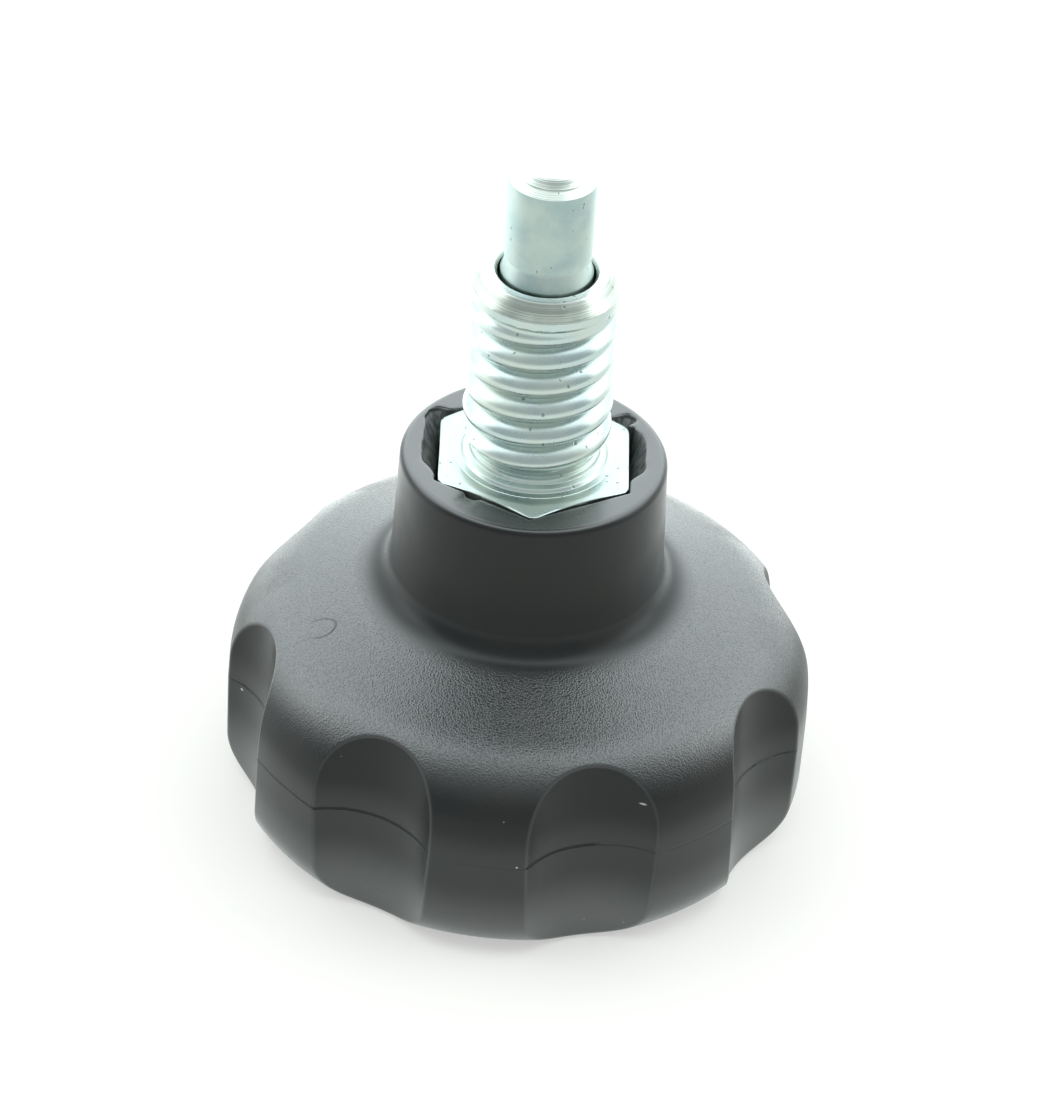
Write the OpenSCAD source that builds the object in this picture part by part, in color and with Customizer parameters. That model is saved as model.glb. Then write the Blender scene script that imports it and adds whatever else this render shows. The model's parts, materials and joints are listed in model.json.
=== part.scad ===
// Spring-loaded pull plunger with an eight-lobed hand knob, standing on the knob's outer face.
// Millimetres. +Z runs along the plunger's axis from the knob's outer face to the pin's nose.
// The origin is on the axis, in the plane the knob stands on.

/* [Knob] */
// Diameter over the lobes, at the mould parting line
knob_d = 63.5; // [52:0.1:80]
// Height of the mould parting line, where the lobes are widest
parting_z = 12.6; // [6:0.1:16]
// How far each lobe wall draws in from the parting line to the outer face
draft_low = 0.15; // [0:0.05:1.5]
// How far each lobe wall draws in from the parting line to the shoulder
draft_high = 0.3; // [0:0.05:1.5]
// Height of the corner where the lobe wall and the dome would meet
shoulder_z = 22.0; // [16:0.1:28]
// Radius of the shoulder between wall and dome
shoulder_r = 10.5; // [4:0.1:13]
// Height of the corner where the dome and the collar would meet
dome_z = 28.5; // [24:0.1:32]
// Radius of the hollow corner between dome and collar
neck_r = 3.2; // [1:0.1:5]
// Radius of the edge round the outer face
base_r = 5.2; // [0.5:0.1:6]
// Depth of the shallow dish in the outer face
dish_depth = 0.6; // [0:0.1:2]

/* [Lobes] */
// Number of finger scallops round the knob
lobes = 8; // [5:1:12]
// Radius of each scallop's cutting cylinder
scallop_r = 10.6; // [7:0.1:14]
// Depth of each scallop at the parting line, from the circle over the lobes
scallop_depth = 3.6; // [2:0.1:6]
// Angle at which each scallop leans in towards the dome
scallop_lean = 2.3; // [0:0.1:6]
// Direction of the first scallop's centre
scallop_turn = 17; // [0:1:44]

/* [Collar] */
// Height of the collar's rim
rim_z = 43.8; // [38:0.1:52]
// Wall of the collar outside the corners of its hexagonal socket
collar_wall = 2.0; // [1:0.1:4]
// How much the collar's radius grows from rim to dome
collar_draft = 0.5; // [0:0.05:1.5]
// Radius of the rim's outer edge
rim_edge_r = 0.9; // [0.3:0.1:1.5]

/* [Sleeve] */
// Distance across the flats of the sleeve's hexagon
hex_af = 20.2; // [17:0.1:26]
// How far the hexagon's shoulder face stands above the rim
hex_proud = 0.3; // [0:0.1:2]
// Width of the chamfer round the hexagon's faces, measured on a flat
hex_inset = 0.5; // [0.2:0.1:1]
// Length of the hexagon
hex_len = 14.0; // [10:0.5:20]
// Length of the sleeve above the hexagon
shank_len = 23.4; // [14:0.1:40]
// Length of the plain neck between hexagon and thread
neck_len = 3.2; // [2:0.1:6]
// Outside diameter of the screw thread
thread_d = 15.9; // [13:0.1:20]
// Distance from one thread crest to the next
thread_pitch = 3.175; // [1.5:0.005:4]
// Depth of the thread
thread_depth = 1.25; // [0.5:0.05:1.5]
// Width of the thread's rounded crest
crest_w = 1.1; // [0.2:0.05:1.2]
// Width of the floor of the groove between crests
root_w = 0.35; // [0.1:0.05:1]
// Height of the chamfer at the sleeve's nose
nose_chamfer = 1.7; // [0.5:0.1:3]
// Width of the flat ring on the nose, round the bore's own chamfer
nose_land = 0.95; // [0.2:0.05:1.5]
// Size of the chamfer at the mouth of the bore
bore_chamfer = 0.35; // [0.1:0.05:0.8]
// Thickness of the wall behind the spring
rear_wall = 3.0; // [2:0.1:5]

/* [Pin] */
// Diameter of the pin's working nose
pin_d = 9.3; // [7:0.1:11.5]
// How far the pin stands out of the sleeve at rest
pin_reach = 13.0; // [6:0.1:18]
// Width of the chamfer on the nose
tip_chamfer = 1.8; // [0.5:0.1:2.5]
// Height of the flare's upper edge above the sleeve's nose at rest
flare_up = 1.9; // [0.5:0.1:4]
// Length of the groove and flare below that edge
flare_len = 1.9; // [0.8:0.1:2.5]
// How much larger the guide is than the nose, on the radius
guide_step = 0.25; // [0.1:0.05:0.5]
// Length of the guide
guide_len = 8.0; // [5:0.5:12]
// Diameter of the stem that runs through the spring
stem_d = 6.0; // [4:0.1:7.2]

/* [Spring] */
// Wire diameter
wire_d = 1.1; // [0.6:0.05:1.3]
// Number of coils
coils = 10; // [5:1:14]

/* [Insert] */
// Wall of the metal insert round the pin's stem
insert_wall = 3.0; // [1.5:0.1:4]
// Length of the insert
insert_len = 14.0; // [8:0.5:18]

/* [Fits] */
// Clearance between the pin's guide and the bore, all round
pin_clear = 0.3; // [0.1:0.05:0.5]
// Clearance between stem and rear wall, all round
stem_clear = 0.3; // [0.1:0.05:0.5]
// Clearance between hexagon and socket, on each flat
hex_clear = 0.55; // [0.2:0.05:1]
// Gap left at the end stop between sleeve and knob
stop_gap = 0.15; // [0.1:0.05:0.5]
// Gap left at each end of the spring
seat_gap = 0.1; // [0.05:0.05:0.3]

/* [Show] */
// Which sub-part to build

/* [Hidden] */
$fn = 96;

knob_r = knob_d / 2;
wall_low_r = knob_r - draft_low;
wall_high_r = knob_r - draft_high;

socket_af = hex_af + 2 * hex_clear;
socket_r = socket_af / sqrt(3);
collar_top_r = socket_r + collar_wall;
collar_low_r = collar_top_r + collar_draft;

hex_r = hex_af / sqrt(3);
hex_face_r = hex_af / 2 - hex_inset;
hex_top_z = rim_z + hex_proud;
hex_low_z = hex_top_z - hex_len;
floor_z = hex_low_z - stop_gap;

pin_r = pin_d / 2;
guide_r = pin_r + guide_step;
bore_r = guide_r + pin_clear;
stem_r = stem_d / 2;

nose_z = hex_top_z + shank_len;
nose_face_r = bore_r + bore_chamfer + nose_land;
thread_r = thread_d / 2;
root_r = thread_r - thread_depth;
thread_top_z = nose_z - nose_chamfer;
thread_low_z = hex_top_z + neck_len;
thread_turns = floor((thread_top_z - thread_low_z) / thread_pitch);
wall_top_z = hex_low_z + rear_wall;

pin_tip_z = nose_z + pin_reach;
flare_z = nose_z + flare_up;
guide_top_z = flare_z - flare_len;
guide_low_z = guide_top_z - guide_len;
insert_r = stem_r + insert_wall;
insert_top_z = floor_z;
insert_low_z = insert_top_z - insert_len;
stem_low_z = insert_low_z + 1.5;

// The coil runs midway between stem and bore
coil_r = (stem_r + bore_r) / 2;
spring_low_z = wall_top_z + seat_gap;
spring_high_z = guide_low_z - seat_gap;

// Corner rounding. A corner at p lies between the lines to a and to b. The circle of radius
// r that rounds it reaches 0.02 mm over both lines, so that it always cuts them.
function unit(v) = v / norm(v);
function half_angle(p, a, b) = acos(unit(a - p) * unit(b - p)) / 2;
function foot(p, a, b, r) = p + unit(a - p) * (r / tan(half_angle(p, a, b)));
function centre(p, a, b, r) =
  p + unit(unit(a - p) + unit(b - p)) * (r / sin(half_angle(p, a, b)) - 0.02);

// The waste piece outside a rounded edge
module edge_waste(p, a, b, r) {
  beyond = p - unit(unit(a - p) + unit(b - p));
  difference() {
    polygon([beyond, foot(p, a, b, r), centre(p, a, b, r), foot(p, b, a, r)]);
    translate(centre(p, a, b, r)) circle(r = r);
  }
}

// Half section of the knob without socket, scallops and insert hole
module knob_section() {
  base = [wall_low_r, 0];
  widest = [knob_r, parting_z];
  shoulder = [wall_high_r, shoulder_z];
  neck = [collar_low_r, dome_z];
  rim = [collar_top_r, rim_z];
  dish_r = knob_r * 0.66;
  difference() {
    polygon([[0, dish_depth], [dish_r, dish_depth], [dish_r + dish_depth * 2, 0],
             base, widest, shoulder, foot(neck, shoulder, rim, neck_r),
             centre(neck, shoulder, rim, neck_r), foot(neck, rim, shoulder, neck_r),
             rim, [0, rim_z]]);
    translate(centre(neck, shoulder, rim, neck_r)) circle(r = neck_r);
    edge_waste(base, [0, 0], widest, base_r);
    edge_waste(shoulder, widest, neck, shoulder_r);
    edge_waste(rim, neck, [0, rim_z], rim_edge_r);
  }
}

// The cutter's wall passes scallop_depth inside the lobes at the parting line
module scallop_cutter() {
  translate([knob_r - scallop_depth, 0, parting_z]) rotate([0, -scallop_lean, 0])
    translate([scallop_r, 0, -parting_z - 3]) cylinder(r = scallop_r, h = shoulder_z + 13);
}

module knob() {
  color([0.06, 0.06, 0.065])
  difference() {
    rotate_extrude() knob_section();
    for (i = [0 : lobes - 1])
      rotate([0, 0, scallop_turn + i * 360 / lobes]) scallop_cutter();
    rotate([0, 0, 30]) translate([0, 0, floor_z])
      cylinder(r = socket_r, h = rim_z - floor_z + 1, $fn = 6);
    insert_shape();
  }
}

// Outline of the insert; the waist keeps it from pulling out of the moulding
module insert_shape() {
  r = insert_r;
  third = insert_len / 3;
  rotate_extrude()
    polygon([[0, insert_low_z], [r - 0.5, insert_low_z], [r, insert_low_z + 0.5],
             [r, insert_low_z + third], [r - 1, insert_low_z + third + 0.8],
             [r - 1, insert_top_z - third - 0.8], [r, insert_top_z - third],
             [r, insert_top_z], [0, insert_top_z]]);
}

module knob_insert() {
  color([0.75, 0.6, 0.3])
  difference() {
    insert_shape();
    translate([0, 0, stem_low_z]) cylinder(r = stem_r, h = insert_len + 1);
  }
}

// Half section of the sleeve above the hexagon. The thread is drawn as closed rings with
// the thread's own section, pitch and diameters.
module sleeve_section() {
  slope = (thread_pitch - crest_w - root_w) / 2;
  difference() {
    polygon([[0, hex_low_z + 1], [root_r, hex_low_z + 1],
             [root_r, thread_low_z - thread_depth], [thread_r, thread_low_z],
             [thread_r, thread_top_z], [nose_face_r, nose_z], [0, nose_z]]);
    for (i = [1 : thread_turns]) {
      low = thread_top_z - i * thread_pitch;
      polygon([[thread_r + 0.01, low], [root_r, low + slope], [root_r, low + slope + root_w],
               [thread_r + 0.01, low + thread_pitch - crest_w]]);
    }
  }
}

module sleeve() {
  color([0.78, 0.8, 0.8])
  difference() {
    union() {
      rotate_extrude() sleeve_section();
      // Turned ring that blends the neck into the shoulder face
      translate([0, 0, hex_top_z - 0.5])
        rotate_extrude()
          polygon([[0, 0], [thread_r + 0.6, 0], [thread_r + 0.6, 0.5], [thread_r - 0.1, 1.0],
                   [root_r, 1.6], [0, 1.6]]);
      intersection() {
        rotate([0, 0, 30]) translate([0, 0, hex_low_z]) cylinder(r = hex_r, h = hex_len, $fn = 6);
        hex_chamfers();
      }
    }
    translate([0, 0, hex_low_z - 1]) cylinder(r = stem_r + stem_clear, h = hex_len + 2);
    translate([0, 0, wall_top_z]) cylinder(r = bore_r, h = nose_z);
    translate([0, 0, nose_z - bore_chamfer])
      cylinder(r1 = bore_r, r2 = bore_r + bore_chamfer * 2, h = bore_chamfer * 2);
  }
}

// Body of revolution that takes the corners off both ends of the hexagon
module hex_chamfers() {
  out = hex_r + 0.5;
  drop = (out - hex_face_r) * tan(20);
  rotate_extrude()
    polygon([[0, hex_low_z], [hex_face_r, hex_low_z], [out, hex_low_z + drop],
             [out, hex_top_z - drop], [hex_face_r, hex_top_z], [0, hex_top_z]]);
}

module pin() {
  step_r = pin_r - tip_chamfer * 0.6;
  face_r = pin_r - tip_chamfer;
  edge_z = pin_tip_z - tip_chamfer * 0.9;
  step_z = pin_tip_z - tip_chamfer * 0.4;
  color([0.72, 0.74, 0.74])
  rotate_extrude()
    polygon([[0, stem_low_z], [stem_r, stem_low_z], [stem_r, guide_low_z],
             [guide_r - 0.3, guide_low_z], [guide_r, guide_low_z + 0.3],
             [guide_r, guide_top_z], [pin_r - 0.3, flare_z - 0.4], [pin_r - 0.2, flare_z],
             [pin_r, flare_z + 0.2], [pin_r, edge_z],
             [step_r, step_z], [face_r, pin_tip_z], [0, pin_tip_z]]);
}

// Compression spring, drawn as closed rings of wire joined by a thin strip along the coil
module spring() {
  wire_r = wire_d / 2;
  first = spring_low_z + wire_r;
  rise = (spring_high_z - spring_low_z - wire_d) / (coils - 1);
  color([0.5, 0.5, 0.52])
  union() {
    for (i = [0 : coils - 1])
      translate([0, 0, first + i * rise])
        rotate_extrude() translate([coil_r, 0]) circle(r = wire_r);
    translate([coil_r, 0, first])
      cylinder(r = wire_r * 0.8, h = spring_high_z - spring_low_z - wire_d);
  }
}

knob();
knob_insert();
sleeve();
pin();
spring();
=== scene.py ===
import json
import math
from bisect import bisect_left

import bmesh
import bpy
from mathutils import Matrix, Vector, noise


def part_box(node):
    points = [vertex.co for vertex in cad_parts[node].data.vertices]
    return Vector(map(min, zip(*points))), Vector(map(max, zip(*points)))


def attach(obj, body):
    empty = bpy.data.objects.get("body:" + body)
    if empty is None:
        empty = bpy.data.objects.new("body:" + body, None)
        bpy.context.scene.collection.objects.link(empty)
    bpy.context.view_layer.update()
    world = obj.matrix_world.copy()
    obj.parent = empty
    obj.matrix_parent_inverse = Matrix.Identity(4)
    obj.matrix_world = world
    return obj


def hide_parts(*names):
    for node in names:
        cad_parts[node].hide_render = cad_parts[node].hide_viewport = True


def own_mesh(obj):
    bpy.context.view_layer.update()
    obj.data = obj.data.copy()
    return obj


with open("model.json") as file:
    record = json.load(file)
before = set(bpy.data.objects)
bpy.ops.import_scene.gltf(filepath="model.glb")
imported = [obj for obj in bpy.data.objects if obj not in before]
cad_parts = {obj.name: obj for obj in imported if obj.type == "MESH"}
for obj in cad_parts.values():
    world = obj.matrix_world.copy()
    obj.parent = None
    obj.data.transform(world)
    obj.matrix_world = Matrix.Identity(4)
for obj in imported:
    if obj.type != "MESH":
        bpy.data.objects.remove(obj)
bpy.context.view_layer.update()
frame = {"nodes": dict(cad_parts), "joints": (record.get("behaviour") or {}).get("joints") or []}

mm = 0.001
scene = bpy.context.scene
sleeveLow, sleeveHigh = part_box("sleeve")
pinLow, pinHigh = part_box("pin")
springLow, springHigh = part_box("spring")
insertLow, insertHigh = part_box("knob_insert")
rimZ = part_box("knob")[1].z / mm
hexLowZ = sleeveLow.z / mm
noseZ = sleeveHigh.z / mm
tipZ = pinHigh.z / mm
print("frame loaded:", sorted(frame["nodes"]))


# Mesh helpers. Everything is in millimetres until the mesh is made.

def roundPath(corners, stepDegrees=12):
    # corners are (radius from the axis, height, rounding); each rounding becomes an arc
    path = []
    for k, (r, z, rounding) in enumerate(corners):
        here = Vector((r, z))
        if rounding == 0 or k == 0 or k == len(corners) - 1:
            path.append(here)
            continue
        before = (Vector(corners[k - 1][:2]) - here).normalized()
        after = (Vector(corners[k + 1][:2]) - here).normalized()
        half = before.angle(after) / 2
        middle = here + (before + after).normalized() * rounding / math.sin(half)
        arm = here + before * rounding / math.tan(half) - middle
        turn = math.pi - 2 * half
        if before.x * after.y - before.y * after.x > 0:
            turn = -turn
        steps = max(2, math.ceil(abs(turn) / math.radians(stepDegrees)))
        for i in range(steps + 1):
            path.append(middle + Matrix.Rotation(turn * i / steps, 2) @ arm)
    return path


def polar(r, angle, z):
    return Vector((r * math.cos(angle), r * math.sin(angle), z))


def joinRings(rings, faces):
    # faces between rings of point numbers; a ring may be one point repeated
    for low, high in zip(rings, rings[1:]):
        count = len(low)
        for i in range(count):
            j = (i + 1) % count
            quad = [low[i], low[j], high[j], high[i]]
            quad = [v for n, v in enumerate(quad) if v not in quad[:n]]
            if len(quad) > 2:
                faces.append(quad)


def lathe(path, angles, points, faces):
    # turns path round the axis
    rings = []
    for r, z in path:
        if r < 1e-6:
            points.append(Vector((0, 0, z)))
            rings.append([len(points) - 1] * len(angles))
            continue
        ring = []
        for angle in angles:
            points.append(polar(r, angle, z))
            ring.append(len(points) - 1)
        rings.append(ring)
    joinRings(rings, faces)


def evenAngles(count):
    return [2 * math.pi * i / count for i in range(count)]


def finishPiece(name, mesh, sharpDegrees=None):
    # welds the mesh, turns its faces outward and makes an object of it
    weldWithin = 1e-6
    bm = bmesh.new()
    bm.from_mesh(mesh)
    bmesh.ops.remove_doubles(bm, verts=bm.verts, dist=weldWithin)
    bmesh.ops.dissolve_degenerate(bm, edges=bm.edges, dist=weldWithin)
    loose = [v for v in bm.verts if not v.link_faces]
    bmesh.ops.delete(bm, geom=loose, context="VERTS")
    bmesh.ops.recalc_face_normals(bm, faces=bm.faces)
    for face in bm.faces:
        face.smooth = True
    openEdges = sum(1 for e in bm.edges if len(e.link_faces) != 2)
    bm.to_mesh(mesh)
    bm.free()
    if sharpDegrees:
        mesh.set_sharp_from_angle(angle=math.radians(sharpDegrees))
    mesh.name = name
    piece = bpy.data.objects.new(name, mesh)
    scene.collection.objects.link(piece)
    print(name, "faces", len(mesh.polygons), "open edges", openEdges)
    return piece


def newPiece(name, points, faces, material, masks=None, sharpDegrees=None):
    # masks are named values, one a point, that the material reads
    mesh = bpy.data.meshes.new(name)
    mesh.from_pydata([p * mm for p in points], [], faces)
    for key, values in (masks or {}).items():
        layer = mesh.attributes.new(key, "FLOAT", "POINT")
        layer.data.foreach_set("value", values)
    mesh.materials.append(material)
    return finishPiece(name, mesh, sharpDegrees)


# Shader helpers.

class Result:
    # what a node gives, so that formulas can be written plainly
    def __init__(self, socket):
        self.socket = socket
        self.tree = socket.id_data

    def __add__(self, other):
        return math2("ADD", self, other)

    def __sub__(self, other):
        return math2("SUBTRACT", self, other)

    def __rsub__(self, other):
        return math2("SUBTRACT", other, self)

    def __mul__(self, other):
        return math2("MULTIPLY", self, other)

    def __truediv__(self, other):
        return math2("DIVIDE", self, other)

    def __rtruediv__(self, other):
        return math2("DIVIDE", other, self)

    def __pow__(self, other):
        return math2("POWER", self, other)

    def __abs__(self):
        return math2("ABSOLUTE", self)


def feed(socket, value):
    # links a result to a socket, or sets a plain value
    if isinstance(value, Result):
        value.tree.links.new(value.socket, socket)
    else:
        socket.default_value = value


def addNode(tree, kind, settings=None, **inputs):
    # inputs are named as the sockets are, with _ for a space, or i0, i1 and so on by their order
    node = tree.nodes.new(kind)
    for key, value in (settings or {}).items():
        setattr(node, key, value)
    for key, value in inputs.items():
        byOrder = key[0] == "i" and key[1:].isdigit()
        feed(node.inputs[int(key[1:]) if byOrder else key.replace("_", " ")], value)
    return node


def result(tree, kind, settings=None, output=0, **inputs):
    return Result(addNode(tree, kind, settings, **inputs).outputs[output])


def results(node):
    return {socket.name: Result(socket) for socket in node.outputs}


def math2(operation, a, b=0.0, clamp=False):
    tree = (a if isinstance(a, Result) else b).tree
    return result(tree, "ShaderNodeMath", {"operation": operation, "use_clamp": clamp}, i0=a, i1=b)


def least(a, b):
    return math2("MINIMUM", a, b)


def most(a, b):
    return math2("MAXIMUM", a, b)


def parts(vector):
    # its three numbers
    return list(results(addNode(vector.tree, "ShaderNodeSeparateXYZ", Vector=vector)).values())


def mapRange(given, fromMin, fromMax, toMin=0.0, toMax=1.0, smooth=True):
    kind = "SMOOTHSTEP" if smooth else "LINEAR"
    return result(given.tree, "ShaderNodeMapRange", {"interpolation_type": kind}, Value=given,
                  From_Min=fromMin, From_Max=fromMax, To_Min=toMin, To_Max=toMax)


def mixColor(factor, a, b):
    # a and b are results or (red, green, blue)
    a, b = ((*v, 1) if isinstance(v, tuple) else v for v in (a, b))
    return result(factor.tree, "ShaderNodeMix", {"data_type": "RGBA"}, output=2, i0=factor, i6=a, i7=b)


def noiseAt(place, scale, detail=1.0, **more):
    return result(place.tree, "ShaderNodeTexNoise", Vector=place, Scale=scale, Detail=detail, **more)


def objectCoords(tree):
    return result(tree, "ShaderNodeTexCoord", output="Object")


def latheCoords(tree):
    # (distance from the axis, height) of a point, in metres
    x, y, z = parts(objectCoords(tree))
    return math2("SQRT", x ** 2.0 + y ** 2.0), z


def attribute(tree, name):
    return result(tree, "ShaderNodeAttribute", {"attribute_name": name}, output="Fac")


def newMaterial(name, color, roughness, metallic=0.0):
    material = bpy.data.materials.new(name)
    material.use_nodes = True
    shader = material.node_tree.nodes["Principled BSDF"]
    feed(shader.inputs["Base Color"], (*color, 1))
    feed(shader.inputs["Roughness"], roughness)
    feed(shader.inputs["Metallic"], metallic)
    return material, material.node_tree, shader


def newGroup(name, inputs, outputs):
    group = bpy.data.node_groups.new(name, "ShaderNodeTree")
    for label, value in inputs.items():
        socket = group.interface.new_socket(name=label, in_out="INPUT", socket_type="NodeSocketFloat")
        socket.default_value = value
    for label in outputs:
        group.interface.new_socket(name=label, in_out="OUTPUT", socket_type="NodeSocketFloat")
    given = results(group.nodes.new("NodeGroupInput"))
    return group, given, group.nodes.new("NodeGroupOutput").inputs


def placeGroup(tree, group, **values):
    return results(addNode(tree, "ShaderNodeGroup", {"node_tree": group}, **values))


def turningLinesGroup():
    # fine rings left by a lathe tool, on ends and sides alike
    group, given, out = newGroup("turningLines", {"Spacing mm": 0.12, "Unevenness": 0.5}, ["Height", "Tone"])
    radius, height = latheCoords(group)
    perMetre = 1000.0 / given["Spacing mm"]
    across = result(group, "ShaderNodeCombineXYZ", X=radius * perMetre, Y=height * perMetre, Z=0.0)
    fine = result(group, "ShaderNodeTexNoise", {"noise_dimensions": "2D"}, Vector=across, Scale=1.0,
                  Detail=2.0, Roughness=given["Unevenness"])
    patchy = noiseAt(objectCoords(group), 220.0, 2.0)
    feed(out["Height"], fine)
    feed(out["Tone"], fine * mapRange(patchy, 0.3, 0.7, 0.6, 1.0))
    return group


def speckGroup():
    # small scattered pits, nicks or dust, as a mask that is 1 in each speck
    sizes = {"Spacing mm": 2.0, "Size": 0.12, "Stretch": 1.0}
    group, given, out = newGroup("scatteredSpecks", sizes, ["Mask"])
    perMetre = 1000.0 / given["Spacing mm"]
    x, y, z = parts(objectCoords(group))
    spot = result(group, "ShaderNodeCombineXYZ", X=x * perMetre, Y=y * perMetre,
                  Z=z * perMetre * given["Stretch"])
    bend = result(group, "ShaderNodeTexNoise", output="Color", Vector=spot, Scale=3.0, Detail=1.0)
    bent = result(group, "ShaderNodeVectorMath", {"operation": "MULTIPLY_ADD"}, i0=bend,
                  i1=(0.25, 0.25, 0.25), i2=spot)
    cells = results(addNode(group, "ShaderNodeTexVoronoi", Vector=bent, Scale=1.0))
    chance = result(group, "ShaderNodeSeparateColor", Color=cells["Color"])
    near = mapRange(cells["Distance"] / given["Size"], 0.6, 1.0, 1.0, 0.0)
    feed(out["Mask"], near * math2("GREATER_THAN", chance, 0.55))
    return group


def slowChangeGroup():
    # slow change over a surface, from handling, plating or moulding
    group, given, out = newGroup("slowChange", {"Size mm": 6.0}, ["Fac"])
    cloud = noiseAt(objectCoords(group), 1000.0 / given["Size mm"], 3.0, Roughness=0.55)
    feed(out["Fac"], mapRange(cloud, 0.32, 0.68))
    return group


def bumpFrom(relief):
    # relief is in metres
    return result(relief.tree, "ShaderNodeBump", Strength=1.0, Distance=1.0, Height=relief)


turningLines = turningLinesGroup()
scatteredSpecks = speckGroup()
slowChange = slowChangeGroup()


# Materials.

plasticLook = {
    "color": (0.009, 0.0105, 0.0107),
    "warmColor": (0.0135, 0.0130, 0.0120),
    "gloss": 0.28,                  # Principled specular level of the smooth moulding
    "grainMm": 0.19,
    "grainHeightMm": 0.021,
    "pitDulling": 0.30,
    "smoothRoughness": 0.33,
    "grainRoughness": 0.36,
    "skinIor": 2.02,                # the denser skin on the dome and the rim
    "skinRoughness": 0.25,
    "partingZ": 12.6,
    "partingWidth": 0.17,
    "partingDepth": 0.22,
    # the parting line's colour is painted shade, the shade in its groove
    "partingShadeColor": (0.003, 0.003, 0.003),
    # the edges of the scallops and the socket's top edge are painted lighter: a painted highlight
    "edgeHighlight": 0.2,
    "edgeHighlightColor": (0.10, 0.105, 0.105),
    "scuffColor": (0.27, 0.28, 0.275),
    "dustMm": 3.4,                  # between the specks
    "dustColor": (0.30, 0.29, 0.27),
    "markPlace": (-21.6, -8.9),     # centre of the faint oval moulding mark on the dome
    "markSize": (1.75, 1.35),
    "markColor": (0.010, 0.010, 0.010),
    # flakes of flash, painted pale: partly scratches, partly a painted highlight on the burrs; place, then
    # half sizes across and up
    "flakes": [((-30.0, -3.4, 11.9), (0.22, 0.16)), ((14.0, -26.6, 18.45), (0.45, 0.13)),
               ((1.2, -31.7, 12.8), (0.14, 0.12))],
    "flakeScratchAndGlintColor": (0.42, 0.43, 0.42),
}


def partingGroove(coords):
    # mask of the mould's parting line, which wanders a little and fades in and out
    x, _, z = parts(coords)
    bend = (noiseAt(coords, 160.0) - 0.5) * 0.00035
    away = abs(z - plasticLook["partingZ"] * mm + bend)
    width = plasticLook["partingWidth"] * mm
    line = mapRange(away, width * 0.5, width * 1.3, 1.0, 0.0)
    line *= mapRange(noiseAt(coords, 110.0), 0.36, 0.46, 0.2, 1.0)
    # strong in the scallops and round the left side, faint on the other lobes
    left = mapRange(x, -0.016, -0.019)
    strong = most(attribute(coords.tree, "scallop"), left)
    return line * mapRange(strong, 0.0, 1.0, 0.08, 1.0, smooth=False)


def ovalMark(coords):
    # mask of the faint oval that a pin of the mould left on the dome
    placeX, placeY = plasticLook["markPlace"]
    sizeX, sizeY = plasticLook["markSize"]
    offset = result(coords.tree, "ShaderNodeMapping", Vector=coords,
                    Location=(-placeX * mm, -placeY * mm, 0))
    x, y = parts(offset)[:2]
    ovalX, ovalY = x / (sizeX * mm), y / (sizeY * mm)
    away = abs(math2("SQRT", ovalX ** 2.0 + ovalY ** 2.0) - 1.0)
    return mapRange(away, 0.03, 0.13, 1.0, 0.0) * mapRange(ovalX, -0.9, 0.1)


def flakeMask(coords):
    # mask that is 1 on each flake of flash
    total = 0.0
    for place, (across, up) in plasticLook["flakes"]:
        offset = result(coords.tree, "ShaderNodeMapping", {"vector_type": "TEXTURE"}, Vector=coords,
                        Location=tuple(v * mm for v in place), Scale=(across * mm, across * mm, up * mm))
        far = result(coords.tree, "ShaderNodeVectorMath", {"operation": "LENGTH"}, output="Value", i0=offset)
        total = mapRange(far, 0.5, 1.2, 1.0, 0.0) + total
    return total


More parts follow.
